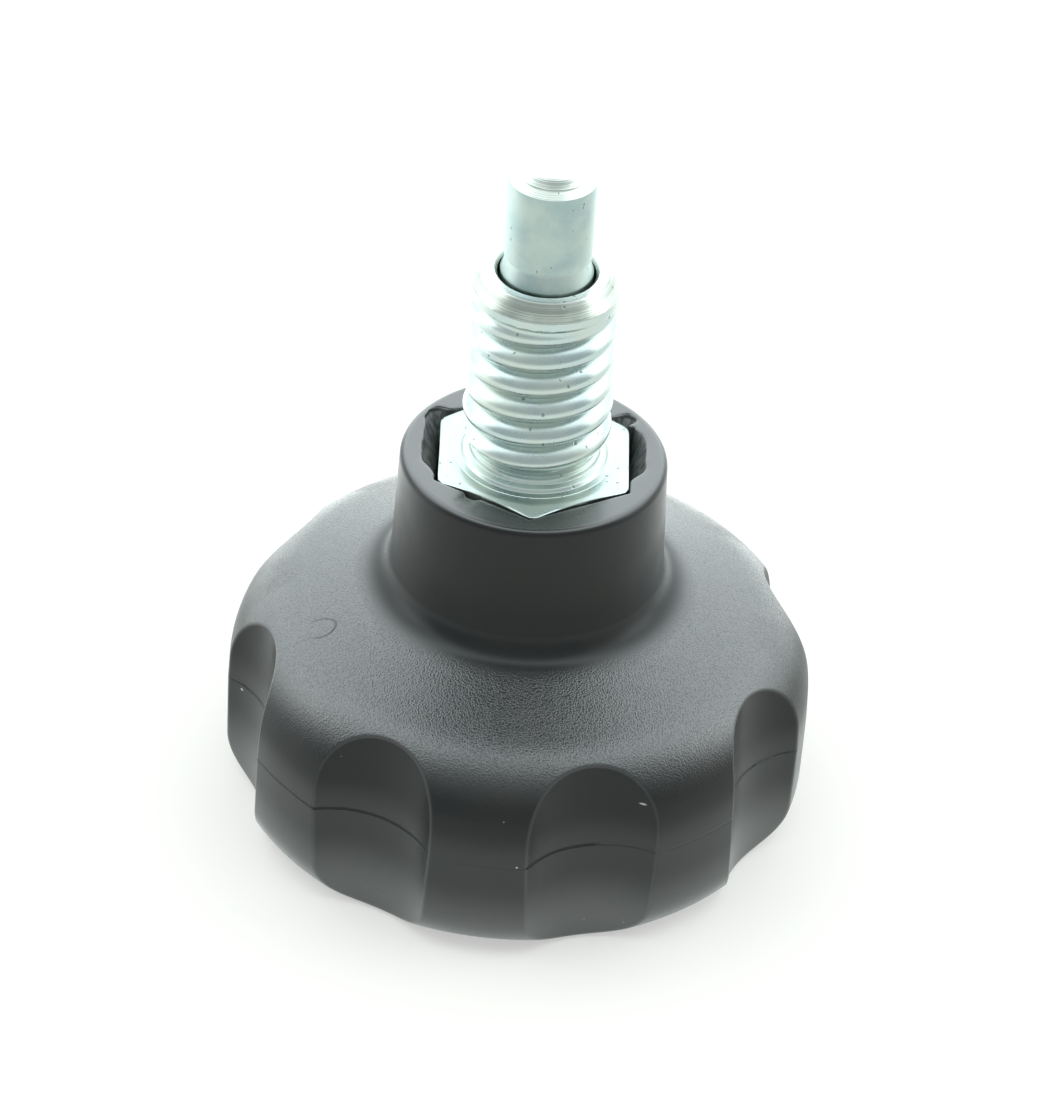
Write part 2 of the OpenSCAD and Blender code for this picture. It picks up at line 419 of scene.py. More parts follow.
def makePlastic():
    look = plasticLook
    material, tree, shader = newMaterial("knobPlastic", look["color"], look["smoothRoughness"])
    feed(shader.inputs["Specular IOR Level"], look["gloss"])
    feed(shader.inputs["Coat IOR"], look["skinIor"])
    feed(shader.inputs["Coat Roughness"], look["skinRoughness"])
    coords = objectCoords(tree)
    grainMask = attribute(tree, "grain")
    grain = noiseAt(coords, 1000 / look["grainMm"])
    faint = noiseAt(coords, 1000 / 0.9)
    slow = placeGroup(tree, slowChange, Size_mm=9.0)["Fac"]
    line = partingGroove(coords)
    mark = ovalMark(coords) * grainMask
    # the skin is dull in the grain's pits
    dull = mapRange(grain, 0.52, 0.36, 0.0, look["pitDulling"]) * grainMask
    dull = most(dull, mark * 0.55)
    feed(shader.inputs["Coat Weight"], attribute(tree, "skin") * (1.0 - dull))
    # the socket's worn wall is scuffed grey, in streaks that run down it
    stretched = result(tree, "ShaderNodeMapping", Vector=coords, Scale=(1, 1, 0.12))
    streaky = mapRange(noiseAt(stretched, 1000 / 0.45, 2.0), 0.35, 0.65, 0.35, 1.0)
    dust = placeGroup(tree, scatteredSpecks, Spacing_mm=look["dustMm"], Size=0.035)["Mask"]
    base = mixColor(slow, look["color"], look["warmColor"])
    # the edge mask paints a highlight along the rounded edges
    for share, over in ((attribute(tree, "edge") * look["edgeHighlight"], "edgeHighlightColor"),
                        (dust * 0.5, "dustColor"),
                        (attribute(tree, "worn") * streaky, "scuffColor"),
                        # pale flakes: partly scratches, partly a painted highlight
                        (flakeMask(coords), "flakeScratchAndGlintColor"),
                        # painted shade along the parting line's groove
                        (line * 0.95, "partingShadeColor"),
                        (mark * 0.6, "markColor")):
        base = mixColor(share, base, look[over])
    feed(shader.inputs["Base Color"], base)
    # painted shade: the parting line is made a black metal, which doesn't shine, so it stays dark under the
    # lamps as the shade in its groove would
    feed(shader.inputs["Metallic"], line * 0.85)
    smooth = mapRange(slow, 0.0, 1.0, look["smoothRoughness"] - 0.05, look["smoothRoughness"] + 0.06,
                      smooth=False)
    feed(shader.inputs["Roughness"], result(tree, "ShaderNodeMix", {"data_type": "FLOAT"}, i0=grainMask,
                                            i2=smooth, i3=look["grainRoughness"]))
    relief = mapRange(grain, 0.25, 0.75) * grainMask * (look["grainHeightMm"] * mm) + faint * 0.0000025
    bump = bumpFrom(relief - line * (look["partingDepth"] * mm) - mark * 0.00004)
    feed(shader.inputs["Normal"], bump)
    feed(shader.inputs["Coat Normal"], bump)
    return material


metalLooks = {
    # cool and warm are the two tones of the surface, ringMm is between turning lines, pitMm between pits,
    # and bare is the colour of a turned end bareLen long
    "sleeveZinc": {"cool": (0.50, 0.585, 0.575), "warm": (0.55, 0.61, 0.56), "roughness": 0.27,
                   "ringMm": 0.14, "pitMm": 1.2, "bare": (0.64, 0.695, 0.62), "bareLen": 1.75},
    "pinSteel": {"cool": (0.33, 0.42, 0.42), "warm": (0.46, 0.53, 0.495), "roughness": 0.36,
                 "ringMm": 0.14, "pitMm": 0.9, "bare": (0.80, 0.86, 0.79), "bareLen": 1.66},
    "springSteel": {"cool": (0.42, 0.43, 0.45), "warm": (0.36, 0.37, 0.38), "roughness": 0.38,
                    "ringMm": 0.3, "pitMm": 1.2},
    "insertBrass": {"cool": (0.72, 0.55, 0.26), "warm": (0.62, 0.46, 0.22), "roughness": 0.34,
                    "ringMm": 0.14, "pitMm": 1.2},
}
rubbedColor = (0.95, 0.97, 0.96)    # ends that handling has rubbed bright
pitColor = (0.16, 0.18, 0.18)


def makeMetal(name, endZ=None):
    # endZ is the height of the turned end, on a piece that shows one
    look = metalLooks[name]
    roughness = look["roughness"]
    material, tree, shader = newMaterial(name, look["cool"], roughness, metallic=1.0)
    slow = placeGroup(tree, slowChange, Size_mm=4.0)["Fac"]
    rings = placeGroup(tree, turningLines, Spacing_mm=look["ringMm"], Unevenness=0.6)
    pits = placeGroup(tree, scatteredSpecks, Spacing_mm=look["pitMm"], Size=0.15, Stretch=0.6)["Mask"]
    color = mixColor(slow, look["cool"], look["warm"])
    if endZ is not None:
        # bare steel shows on the turned chamfer, and the end above it is bright
        height = latheCoords(tree)[1]
        bareZ = endZ - look["bareLen"]
        above = mapRange(height, bareZ * mm, (bareZ + 0.06) * mm)
        end = mapRange(height, (endZ - 0.08) * mm, (endZ - 0.03) * mm)
        bright = mapRange(rings["Tone"], 0.25, 0.5)
        turned = mixColor(bright, tuple(v * 0.6 for v in look["bare"]), look["bare"])
        color = mixColor(end, mixColor(above, color, turned), rubbedColor)
    feed(shader.inputs["Base Color"], mixColor(pits * 0.7, color, pitColor))
    worn = mapRange(slow, 0.0, 1.0, roughness - 0.06, roughness + 0.06, smooth=False)
    feed(shader.inputs["Roughness"], worn + rings["Tone"] * 0.08)
    fine = noiseAt(objectCoords(tree), 3500.0, 2.0)
    relief = rings["Height"] * 0.0000016 + fine * 0.0000022 - pits * 0.00002
    feed(shader.inputs["Normal"], bumpFrom(relief))
    return material


plastic = makePlastic()
sleeveZinc = makeMetal("sleeveZinc", noseZ)
pinSteel = makeMetal("pinSteel", tipZ)
springSteel = makeMetal("springSteel")
insertBrass = makeMetal("insertBrass")
print("materials made")


# Hand knob.

knobSize = {
    "outerD": 63.5,
    "partingZ": 12.6,
    "draftLow": 0.15,
    "draftHigh": 0.3,
    "shoulderZ": 22.0,
    "shoulderR": 10.5,
    "domeZ": 28.5,
    "neckR": 3.2,
    "baseR": 5.2,
    "underR": 24.0,           # where the scallops' patches end under the knob
    "dishShare": 0.66,        # of the knob's radius
    "dishDepth": 0.6,
    "neckRingR": 17.6,        # where the patches end on the dome
    "collarR": 14.298,
    "collarDraft": 0.5,
    "rimEdgeR": 0.9,
    "socketFlat": 10.32,      # from the axis to a flat of the hexagonal socket, moulded close round the steel
    "socketDeep": 4.2,        # how far down the socket's wall is worn at most
    "socketRows": [           # outwards, down, and the share of the wear that reaches there
        (0.18, 0.0, 1.0), (0.07, 0.05, 1.0), (0.02, 0.16, 0.97), (0.0, 0.6, 0.86), (0.0, 1.3, 0.68),
        (0.0, 2.2, 0.42), (0.0, 3.2, 0.16), (0.0, 4.2, 0.0)],
    "lobes": 8,
    "scallopR": 10.6,
    "scallopDepth": 3.6,      # at the parting line
    "scallopLean": 2.3,       # degrees, inwards with height
    "firstScallop": 17.0,     # degrees
    "edgeSoft": 0.30,         # how far the rounding of a scallop's edge reaches
    "spineIn": (5.5, 7.5),    # from a scallop's foot and top to the ends of its middle line
    "rowsUnder": 18,
    "rowsSide": 36,
    "rowsNeck": 18,
    "stepsIn": 9,             # points across a patch: on the scallop, round its edge, on the lobe
    "stepsRound": 4,
    "stepsOut": 16,
    "waviness": 0.045,        # of the moulding, always inwards
}

wearSize = {
    "seed": 3.7,
    "fine": 0.03,             # raggedness all round the socket's edge
    "scoring": 0.04,
    "places": [               # direction and half width in degrees, then outwards and down
        (172, 36, 1.60, 0.06), (150, 8, 1.30, 0.30), (6, 28, 1.55, 0.06), (38, 6, 1.70, 0.30),
        (-126, 6, 0.40, 0.12)],
}


def smoothStep(a, b, x):
    t = min(max((x - a) / (b - a), 0), 1)
    return t * t * (3 - 2 * t)


def hexRadius(flat, angle):
    # distance to a hexagon whose corner points along -Y
    turned = (angle - math.radians(-90)) % math.radians(60) - math.radians(30)
    return flat / math.cos(turned)


def socketWear(angle):
    # in one direction: how far the edge is worn outwards and down, the scoring, and the share of wear
    spot = Vector((math.cos(angle), math.sin(angle), wearSize["seed"]))
    rag = 0.5 + noise.noise(spot * 9) * 0.6 + noise.noise(spot * 23) * 0.4
    wide, low, most = 0.0, 0.0, 0.0
    for middle, spread, outward, down in wearSize["places"]:
        off = abs((math.degrees(angle) - middle + 180) % 360 - 180)
        share = smoothStep(spread, spread * 0.4, off)
        most = max(most, share)
        wide, low = max(wide, outward * share), max(low, down * share)
    jag = 1 + 0.07 * noise.noise(spot * 12)
    scored = wearSize["scoring"] * most * noise.noise(spot * 41)
    fine = wearSize["fine"] * rag
    return max(wide * jag + fine, 0.0), max(low * jag + fine * 0.4, 0.0), scored, most


class Along:
    # a polyline that is read by the distance along it
    def __init__(self, path):
        self.path = [Vector(p) for p in path]
        self.at = [0.0]
        for a, b in zip(self.path, self.path[1:]):
            self.at.append(self.at[-1] + (b - a).length)

    def point(self, s):
        s = min(max(s, 0.0), self.at[-1])
        i = min(max(bisect_left(self.at, s), 1), len(self.at) - 1)
        span = self.at[i] - self.at[i - 1]
        return self.path[i - 1].lerp(self.path[i], (s - self.at[i - 1]) / span if span else 0)

    def find(self, low, high, test):
        # the distance between low and high where test turns from true to false
        for _ in range(50):
            mid = (low + high) / 2
            if test(self.point(mid)):
                low = mid
            else:
                high = mid
        return (low + high) / 2


class Skin:
    # the knob's points and faces as they are made, with the masks that the plastic reads
    def __init__(self):
        k = knobSize
        self.points, self.faces = [], []
        self.scallop, self.edge, self.worn = [], [], []
        self.columns = 2 * k["lobes"] * k["rowsNeck"]
        self.step = 2 * math.pi / self.columns
        self.start = math.radians(k["firstScallop"])

    def put(self, point, scallop=0.0, edge=0.0, worn=0.0):
        self.points.append(point)
        self.scallop.append(scallop)
        self.edge.append(edge)
        self.worn.append(worn)
        return len(self.points) - 1

    def ring(self, place, shift=0.0, edge=0.0, worn=0.0):
        # one point a column, where place(angle) says
        made = []
        for i in range(self.columns):
            angle = self.start + self.step * i + shift
            scuffed = worn * (0.35 + 0.65 * socketWear(angle)[3]) if worn else 0.0
            made.append(self.put(place(angle), 0.0, edge, scuffed))
        return made

    def circle(self, r, z, shift=0.0):
        return self.ring(lambda angle: polar(r, angle, z), shift)

    def pole(self, z):
        return [self.put(Vector((0, 0, z)))] * self.columns


def knobProfile():
    # half section of the turned body, from the dish's rim round to the socket's edge
    k = knobSize
    outer = k["outerD"] / 2
    dishR = outer * k["dishShare"]
    return Along(roundPath([
        (dishR + k["dishDepth"] * 2, 0, 0),
        (outer - k["draftLow"], 0, k["baseR"]),
        (outer, k["partingZ"], 0),
        (outer - k["draftHigh"], k["shoulderZ"], k["shoulderR"]),
        (k["collarR"] + k["collarDraft"], k["domeZ"], k["neckR"]),
        (k["collarR"], rimZ, k["rimEdgeR"]),
        (k["socketFlat"], rimZ, 0)], stepDegrees=4))


def scallopAxis(z):
    # how far the middle of a scallop's circle is from the knob's axis
    k = knobSize
    lean = math.tan(math.radians(k["scallopLean"])) * (z - k["partingZ"])
    return k["outerD"] / 2 - k["scallopDepth"] - lean + k["scallopR"]


def scallopEdge(profile):
    # the edge between a scallop and the turned body, from its foot to the top of its arch,
    # as even steps of (angle, distance along the profile, radius, height)
    k = knobSize
    reach = k["scallopR"]
    samples = 800
    last = profile.at[-1]
    widest = profile.find(0, last, lambda p: p.y < k["partingZ"])
    low = profile.find(0, widest, lambda p: p.x < scallopAxis(p.y) - reach)
    neckStart = profile.find(widest, last, lambda p: p.x > k["collarR"] + 6)
    high = profile.find(widest, neckStart, lambda p: p.x > scallopAxis(p.y) - reach)
    dense = []
    for i in range(samples + 1):
        s = low + (high - low) * (1 - math.cos(math.pi * i / samples)) / 2
        r, z = profile.point(s)
        axis = scallopAxis(z)
        cosine = (axis ** 2 + r ** 2 - reach ** 2) / (2 * axis * r)
        dense.append((math.acos(min(cosine, 1.0)), s, r, z))
    steps = Along([polar(r, a, z) for a, s, r, z in dense])
    rows = k["rowsUnder"] + k["rowsSide"] + k["rowsNeck"]
    edge = []
    for n in range(rows + 1):
        d = steps.at[-1] * n / rows
        i = min(max(bisect_left(steps.at, d), 1), samples)
        t = (d - steps.at[i - 1]) / (steps.at[i] - steps.at[i - 1])
        edge.append(tuple(u + (v - u) * t for u, v in zip(dense[i - 1], dense[i])))
    return edge


def scallopPatch(profile, sUnder, sNeck):
    # half a scallop with half of the lobe beside it: rows of points across the edge between them,
    # each with its scallop and edge mask
    k = knobSize
    reach, soft = k["scallopR"], k["edgeSoft"]
    half = math.pi / k["lobes"]
    edge = scallopEdge(profile)
    rows = len(edge) - 1
    spineLow = edge[0][3] + k["spineIn"][0]
    spineHigh = edge[-1][3] - k["spineIn"][1]

    def farPoint(i):
        # where a row ends on the lobe: under the knob, along its middle, then on the dome
        if i <= k["rowsUnder"]:
            return half * i / k["rowsUnder"], sUnder
        if i <= k["rowsUnder"] + k["rowsSide"]:
            return half, sUnder + (sNeck - sUnder) * (i - k["rowsUnder"]) / k["rowsSide"]
        return half * (rows - i) / k["rowsNeck"], sNeck

    def turned(a, s):
        r, z = profile.point(s)
        return polar(r, a, z)

    def wall(phi, z):
        return Vector((scallopAxis(z) - reach * math.cos(phi), reach * math.sin(phi), z))

    patch = []
    for i, (a, s, r, z) in enumerate(edge):
        atEnd = i in (0, rows)
        a = 0.0 if atEnd else a
        before, after = edge[max(i - 1, 0)], edge[min(i + 1, rows)]
        phi = math.asin(min(r * math.sin(a) / reach, 1.0))
        phiBefore = math.asin(min(before[2] * math.sin(before[0]) / reach, 1.0))
        phiAfter = math.asin(min(after[2] * math.sin(after[0]) / reach, 1.0))
        # directions along the edge, on the scallop's wall and on the turned body
        onWall = Vector((reach * (phiAfter - phiBefore), after[3] - before[3])).normalized()
        onBody = Vector((r * (after[0] - before[0]), after[1] - before[1])).normalized()
        if atEnd:
            onWall = onBody = Vector((1 if i == 0 else -1, 0))
        wallPhi = 0 if atEnd else max(phi - onWall.y * soft / reach, 0)
        wallZ = z + onWall.x * soft
        bodyA = 0 if atEnd else max(a + onBody.y * soft / r, 0)
        bodyS = s - onBody.x * soft
        spineZ = spineLow + (spineHigh - spineLow) * i / rows
        row = []
        for j in range(k["stepsIn"]):
            t = (1 - j / k["stepsIn"]) ** 1.25
            row.append((wall(wallPhi * (1 - t), wallZ + (spineZ - wallZ) * t), 1.0, 0.0))
        w, e, b = wall(wallPhi, wallZ), turned(a, s), turned(bodyA, bodyS)
        for j in range(k["stepsRound"] + 1):
            t = j / k["stepsRound"]
            row.append((w * (1 - t) ** 2 + e * 2 * t * (1 - t) + b * t * t, 1 - t, 1 - abs(2 * t - 1)))
        farA, farS = farPoint(i)
        for j in range(1, k["stepsOut"] + 1):
            t = (j / k["stepsOut"]) ** 1.5
            row.append((turned(bodyA + (farA - bodyA) * t, bodyS + (farS - bodyS) * t), 0.0, 0.0))
        patch.append(row)
    return patch


def addLobes(skin, patch):
    for sector in range(knobSize["lobes"]):
        turn = Matrix.Rotation(skin.start + 2 * math.pi / knobSize["lobes"] * sector, 3, "Z")
        for side in (1, -1):
            ids = [[skin.put(turn @ Vector((p.x, p.y * side, p.z)), *masks) for p, *masks in row]
                   for row in patch]
            for low, high in zip(ids, ids[1:]):
                for j in range(len(low) - 1):
                    skin.faces.append((low[j], low[j + 1], high[j + 1], high[j]))


def addCollar(skin, profile, sNeck):
    # neck, collar, rim, worn socket edge, socket, and the seat of the brass insert
    k = knobSize
    # the columns turn slowly so that one meets each corner of the socket
    shift = (math.radians(-90) - skin.start) % skin.step
    if shift > skin.step / 2:
        shift -= skin.step
    rings = []
    sRim = profile.find(sNeck, profile.at[-1], lambda p: p.y < rimZ - 1e-4)
    marks = [s for s in profile.at if sNeck + 0.1 < s < sRim - 0.02][::2]
    collarLow = profile.find(sNeck, sRim, lambda p: p.y < k["domeZ"] + 3.2)
    collarRows = [collarLow + (sRim - collarLow) * n / 9 for n in range(1, 9)]
    for s in sorted([sNeck] + marks + collarRows + [sRim]):
        r, z = profile.point(s)
        rings.append(skin.circle(r, z, shift * smoothStep(k["domeZ"], rimZ - 2, z)))

    flat = k["socketFlat"]
    rimR = k["collarR"] - k["rimEdgeR"]
    edgeOut = k["socketRows"][0][0]
    for t in (0.3, 0.6, 0.85):
        def onRim(angle):
            wide, low = socketWear(angle)[:2]
            r = rimR + (hexRadius(flat, angle) + edgeOut + wide - rimR) * t
            return polar(r, angle, rimZ - low * t ** 3)
        rings.append(skin.ring(onRim, shift))

    for outward, down, wornShare in k["socketRows"]:
        def onEdge(angle):
            wide, low, scored, _ = socketWear(angle)
            out = outward + max(wide + (scored if down > 0.1 else 0), 0) * wornShare
            return polar(hexRadius(flat, angle) + out, angle, rimZ - down - (low if down < 1 else 0))
        atTop = down < 0.1
        # the socket's top edge takes the edge mask, and with it the painted highlight
        rings.append(skin.ring(onEdge, shift, edge=0.8 if atTop else 0.0, worn=0.0 if atTop else 1.0))

    seatR, seatLow, seatHigh = insertHigh.x / mm, insertLow.z / mm, insertHigh.z / mm
    wornZ = rimZ - k["socketDeep"]
    for share in (0.35, 0.7, 1.0):
        z = wornZ + (seatHigh - wornZ) * share
        rings.append(skin.ring(lambda angle: polar(hexRadius(flat, angle), angle, z), shift))
    for r, z in ((seatR + 2, seatHigh), (seatR, seatHigh), (seatR, seatLow + 0.5), (seatR - 0.5, seatLow)):
        rings.append(skin.circle(r, z, shift))
    rings.append(skin.pole(seatLow))
    joinRings(rings, skin.faces)


def addOuterFace(skin):
    # the face that the knob stands on, with its shallow dish and the gate's witness in the middle
    k = knobSize
    dishR = k["outerD"] / 2 * k["dishShare"]
    deep = k["dishDepth"]
    under = roundPath([
        (k["underR"], 0, 0), (dishR + 2 * deep, 0, 1.2), (dishR, deep, 1.2), (3.2, deep, 0.25),
        (2.9, deep + 0.35, 0.25), (1.1, deep + 0.35, 0.2), (0.8, deep + 0.1, 0.1), (0.0, deep + 0.05, 0)], 20)
    rings = [skin.circle(r, z) for r, z in under[:-1]]
    rings.append(skin.pole(under[-1].y))
    joinRings(rings, skin.faces)


def finishSkin(skin):
    # where the moulding is grained and where it has a bright skin, and its slight waviness
    grain, bright = [], []
    for n, p in enumerate(skin.points):
        r = math.hypot(p.x, p.y)
        body = 1 - skin.scallop[n]
        dome = smoothStep(16.2, 20.2, p.z) * smoothStep(16.2, 18.2, r)
        below = smoothStep(0.4, 0.0, p.z) * smoothStep(26.2, 25.2, r)
        grain.append(max(dome, below * 0.6) * body * (1 - 0.8 * skin.edge[n]))
        high = smoothStep(19.0, 24.0, p.z) * smoothStep(15.7, 18.6, r) * body
        foot = 0.19 * smoothStep(17.0, 13.0, p.z) + 0.75 * smoothStep(10.0, 2.0, p.z)
        onRim = smoothStep(rimZ - 0.35, rimZ - 0.02, p.z)
        bright.append(max(high, foot, onRim))
        wave = 0.5 + 0.5 * noise.noise(p * 0.16)
        if r > 13.5 and p.z > 0.05:
            scale = 1 - knobSize["waviness"] * wave / r
            skin.points[n] = Vector((p.x * scale, p.y * scale, p.z))
    return {"grain": grain, "skin": bright, "scallop": skin.scallop, "edge": skin.edge, "worn": skin.worn}


def buildKnob():
    k = knobSize
    profile = knobProfile()
    widest = profile.find(0, profile.at[-1], lambda p: p.y < k["partingZ"])
    sUnder = profile.find(0, widest, lambda p: p.x < k["underR"])
    sNeck = profile.find(widest, profile.at[-1], lambda p: p.x > k["neckRingR"] and p.y < k["domeZ"])
    skin = Skin()
    addLobes(skin, scallopPatch(profile, sUnder, sNeck))
    addCollar(skin, profile, sNeck)
    addOuterFace(skin)
    masks = finishSkin(skin)
    return newPiece("handKnob", skin.points, skin.faces, plastic, masks)


handKnob = buildKnob()


# Threaded sleeve.

sleeveSize = {
    "hexFlat": 10.1,         # from the axis to a flat
    "hexInset": 0.5,
    "chamferDegrees": 14,
    "hexTurn": 1.3,          # degrees that it sits turned in its socket
    "cornerCut": 0.22,
    "hexTopZ": rimZ + 0.3,
    "threadR": 7.95,
    "threadDepth": 1.25,
    "pitch": 3.175,
    "crestRoundness": 2.0,
    "firstCrest": 4.0,       # from the nose down to the first crest, at the front
    "runOut": (3.5, 2.6),    # below the nose, where the last groove is whole and where it is gone
    "neckLen": 3.2,
    "neckSteps": [           # out from the thread's root, up from the shoulder, rounding
        (-0.12, 1.25, 0.08), (0.22, 1.1, 0.08), (0.3, 0.62, 0.1), (0.95, 0.42, 0.1), (1.15, 0.05, 0.08),
        (1.85, 0.02, 0.05), (1.9, -0.02, 0)],
    "noseChamfer": 1.7,
    "noseFaceR": 6.5,
    "boreR": 5.2,
    "boreChamfer": 0.35,
    "rearWall": 3.0,
    "rearHoleR": 3.3,
    "columns": 96,
    "threadRows": 27,        # points across one turn of the thread
}


def newTree(name, sizes, counts):
    # a Geometry Nodes tree with named inputs
    tree = bpy.data.node_groups.new(name, "GeometryNodeTree")
    face = tree.interface
    face.new_socket(name="Geometry", in_out="INPUT", socket_type="NodeSocketGeometry")
    for kind, values in (("NodeSocketFloat", sizes), ("NodeSocketInt", counts)):
        for label, value in values.items():
            face.new_socket(name=label, in_out="INPUT", socket_type=kind).default_value = value
    face.new_socket(name="Material", in_out="INPUT", socket_type="NodeSocketMaterial")
    face.new_socket(name="Geometry", in_out="OUTPUT", socket_type="NodeSocketGeometry")
    return tree, results(tree.nodes.new("NodeGroupInput"))


def endTree(tree, given, geometry):
    real = result(tree, "GeometryNodeRealizeInstances", Geometry=geometry)
    painted = result(tree, "GeometryNodeSetMaterial", Geometry=real, Material=given["Material"])
    feed(tree.nodes.new("NodeGroupOutput").inputs[0], painted)
    return tree


def threadTree():
    # one strip a pitch wide, wound up the axis; each row of the strip is a height across the thread
    tree, given = newTree("windThread", {
        "Crest radius": 0.00795, "Root radius": 0.0067, "Pitch": 0.003175, "Start height": 0.04,
        "Low height": 0.045, "High height": 0.066, "Nose radius": 0.0065, "Chamfer height": 0.0017,
        "Crest roundness": 2.0, "Turns": 8.0, "Run out from": 0.0034, "Run out to": 0.0019},
        {"Columns": 768, "Rows": 27})
    crest, root, nose = given["Crest radius"], given["Root radius"], given["Nose radius"]
    low, high, gone = given["Low height"], given["High height"], given["Run out to"]
    strip = result(tree, "GeometryNodeMeshGrid", Size_X=1.0, Size_Y=1.0, Vertices_X=given["Columns"],
                   Vertices_Y=given["Rows"])
    along, across = parts(result(tree, "GeometryNodeInputPosition"))[:2]
    turns = (along + 0.5) * given["Turns"]
    angle = turns * (2 * math.pi)
    height = (turns + across) * given["Pitch"] + given["Start height"]
    height = least(most(height, low), high)
    # section: a rounded crest that falls ever more steeply into a narrow groove
    fall = (abs(across) * 2.0) ** given["Crest roundness"]
    # the last groove runs out below the nose
    below = high - height
    cut = math2("DIVIDE", below - gone, given["Run out from"] - gone, clamp=True)
    radius = crest - (crest - root) * cut * fall
    # chamfers at the nose and at the neck
    radius = least(radius, nose + below / given["Chamfer height"] * (crest - nose))
    radius = most(least(radius, root + (height - low)), root * 0.97)
    moved = result(tree, "ShaderNodeCombineXYZ", X=radius * math2("COSINE", angle),
                   Y=radius * math2("SINE", angle), Z=height)
    wound = result(tree, "GeometryNodeSetPosition", Geometry=strip, Position=moved)
    welded = result(tree, "GeometryNodeMergeByDistance", Geometry=wound, Distance=0.000002)
    return endTree(tree, given, welded)


def runTree(name, tree, values):
    # a new object with the tree's result as a plain mesh
    holder = bpy.data.objects.new(name, bpy.data.meshes.new(name + "Start"))
    scene.collection.objects.link(holder)
    modifier = holder.modifiers.new(name, "NODES")
    modifier.node_group = tree
    ids = {item.name: item.identifier for item in tree.interface.items_tree if item.in_out == "INPUT"}
    for label, value in values.items():
        modifier[ids[label]] = value
    bpy.context.view_layer.update()
    graph = bpy.context.evaluated_depsgraph_get()
    mesh = bpy.data.meshes.new_from_object(holder.evaluated_get(graph))
    holder.modifiers.remove(modifier)
    bpy.data.objects.remove(holder)
    return mesh


def buildSleeve():
    s = sleeveSize
    rootR = s["threadR"] - s["threadDepth"]
    neckTop = s["hexTopZ"] + s["neckLen"] - s["threadDepth"]
    topZ = s["hexTopZ"]
    turns = math.ceil((noseZ - neckTop) / s["pitch"]) + 3
    # the first crest passes the front, at -90 degrees, just below the nose chamfer
    crestFront = noseZ - s["firstCrest"]
    start = crestFront + s["pitch"] * 0.25 - s["pitch"] * (turns - 2)
    thread = runTree("windThread", threadTree(), {
        "Crest radius": s["threadR"] * mm, "Root radius": rootR * mm, "Pitch": s["pitch"] * mm,
        "Start height": start * mm, "Low height": neckTop * mm, "High height": noseZ * mm,
        "Nose radius": s["noseFaceR"] * mm, "Chamfer height": s["noseChamfer"] * mm,
        "Crest roundness": s["crestRoundness"], "Turns": float(turns),
        "Run out from": s["runOut"][0] * mm, "Run out to": s["runOut"][1] * mm,
        "Columns": s["columns"] * turns + 1, "Rows": s["threadRows"], "Material": sleeveZinc})
    points = [v.co / mm for v in thread.vertices]
    faces = [list(f.vertices) for f in thread.polygons]
    angles = evenAngles(s["columns"])
    slope = math.tan(math.radians(s["chamferDegrees"]))
    faceR = s["hexFlat"] - s["hexInset"]

    def sideAt(angle):
        # distance to the hexagon's side, its corners softened a little
        r = hexRadius(s["hexFlat"], angle - math.radians(s["hexTurn"]))
        return min(r, s["hexFlat"] / math.cos(math.radians(30)) - s["cornerCut"])

    # neck, turned rings and shoulder face, from the thread's foot down and out
    inner = faceR - 0.02
    steps = [(rootR + outward, topZ + up, rounding) for outward, up, rounding in s["neckSteps"]]
    neck = roundPath([
        (rootR, neckTop, 0), (rootR, neckTop - 0.2, 0), (rootR - 0.12, neckTop - 0.3, 0.05), *steps,
        (inner, topZ, 0)], 20)
    lathe(neck, angles, points, faces)

    def hexRing(place):
        # place(side) gives radius and height where the hexagon's side is that far from the axis
        made = []
        for angle in angles:
            r, z = place(sideAt(angle))
            points.append(polar(r, angle, z))
            made.append(len(points) - 1)
        return made

    edgeDrop = 0.05
    rings = [hexRing(lambda side: (inner, topZ))]
    for share in (0.25, 0.5, 0.75, 0.93, 1.0):
        drop = edgeDrop if share == 1.0 else 0
        def onChamfer(side):
            r = inner + (side - inner) * share
            return r, topZ - (r - faceR) * slope - drop
        rings.append(hexRing(onChamfer))
    for share in (0.03, 0.2, 0.5, 0.8, 0.97):
        def onSide(side):
            high = topZ - (side - faceR) * slope - edgeDrop
            low = hexLowZ + (side - faceR) * slope
            return side, high + (low - high) * share
        rings.append(hexRing(onSide))
    for share in (1.0, 0.5, 0.0):
        rings.append(hexRing(lambda side: (
            faceR + (side - faceR) * share, hexLowZ + (side - faceR) * share * slope)))
    joinRings(rings, faces)
    # rear face, rear hole, spring chamber, bore and nose face
    wallTop = hexLowZ + s["rearWall"]
    inside = roundPath([
        (faceR, hexLowZ, 0), (s["rearHoleR"] + 0.3, hexLowZ, 0), (s["rearHoleR"], hexLowZ + 0.3, 0),
        (s["rearHoleR"], wallTop, 0), (s["boreR"], wallTop, 0.2),
        (s["boreR"], noseZ - s["boreChamfer"], 0.05), (s["boreR"] + s["boreChamfer"], noseZ, 0.05),
        (s["noseFaceR"] - 0.1, noseZ, 0.0), (s["noseFaceR"], noseZ, 0)], 20)
    lathe(inside, angles, points, faces)
    return newPiece("threadedSleeve", points, faces, sleeveZinc, sharpDegrees=32)


threadedSleeve = buildSleeve()


# Locking pin.

pinSize = {
    "noseR": 4.65,
    "guideR": 4.9,
    "neckR": 4.3,         # shallow undercut between the nose and the flare
    "stemR": 3.0,
    "flareUp": 1.9,
    "guideLen": 8.0,
    "chamfer": 1.8,
    "columns": 128,
}


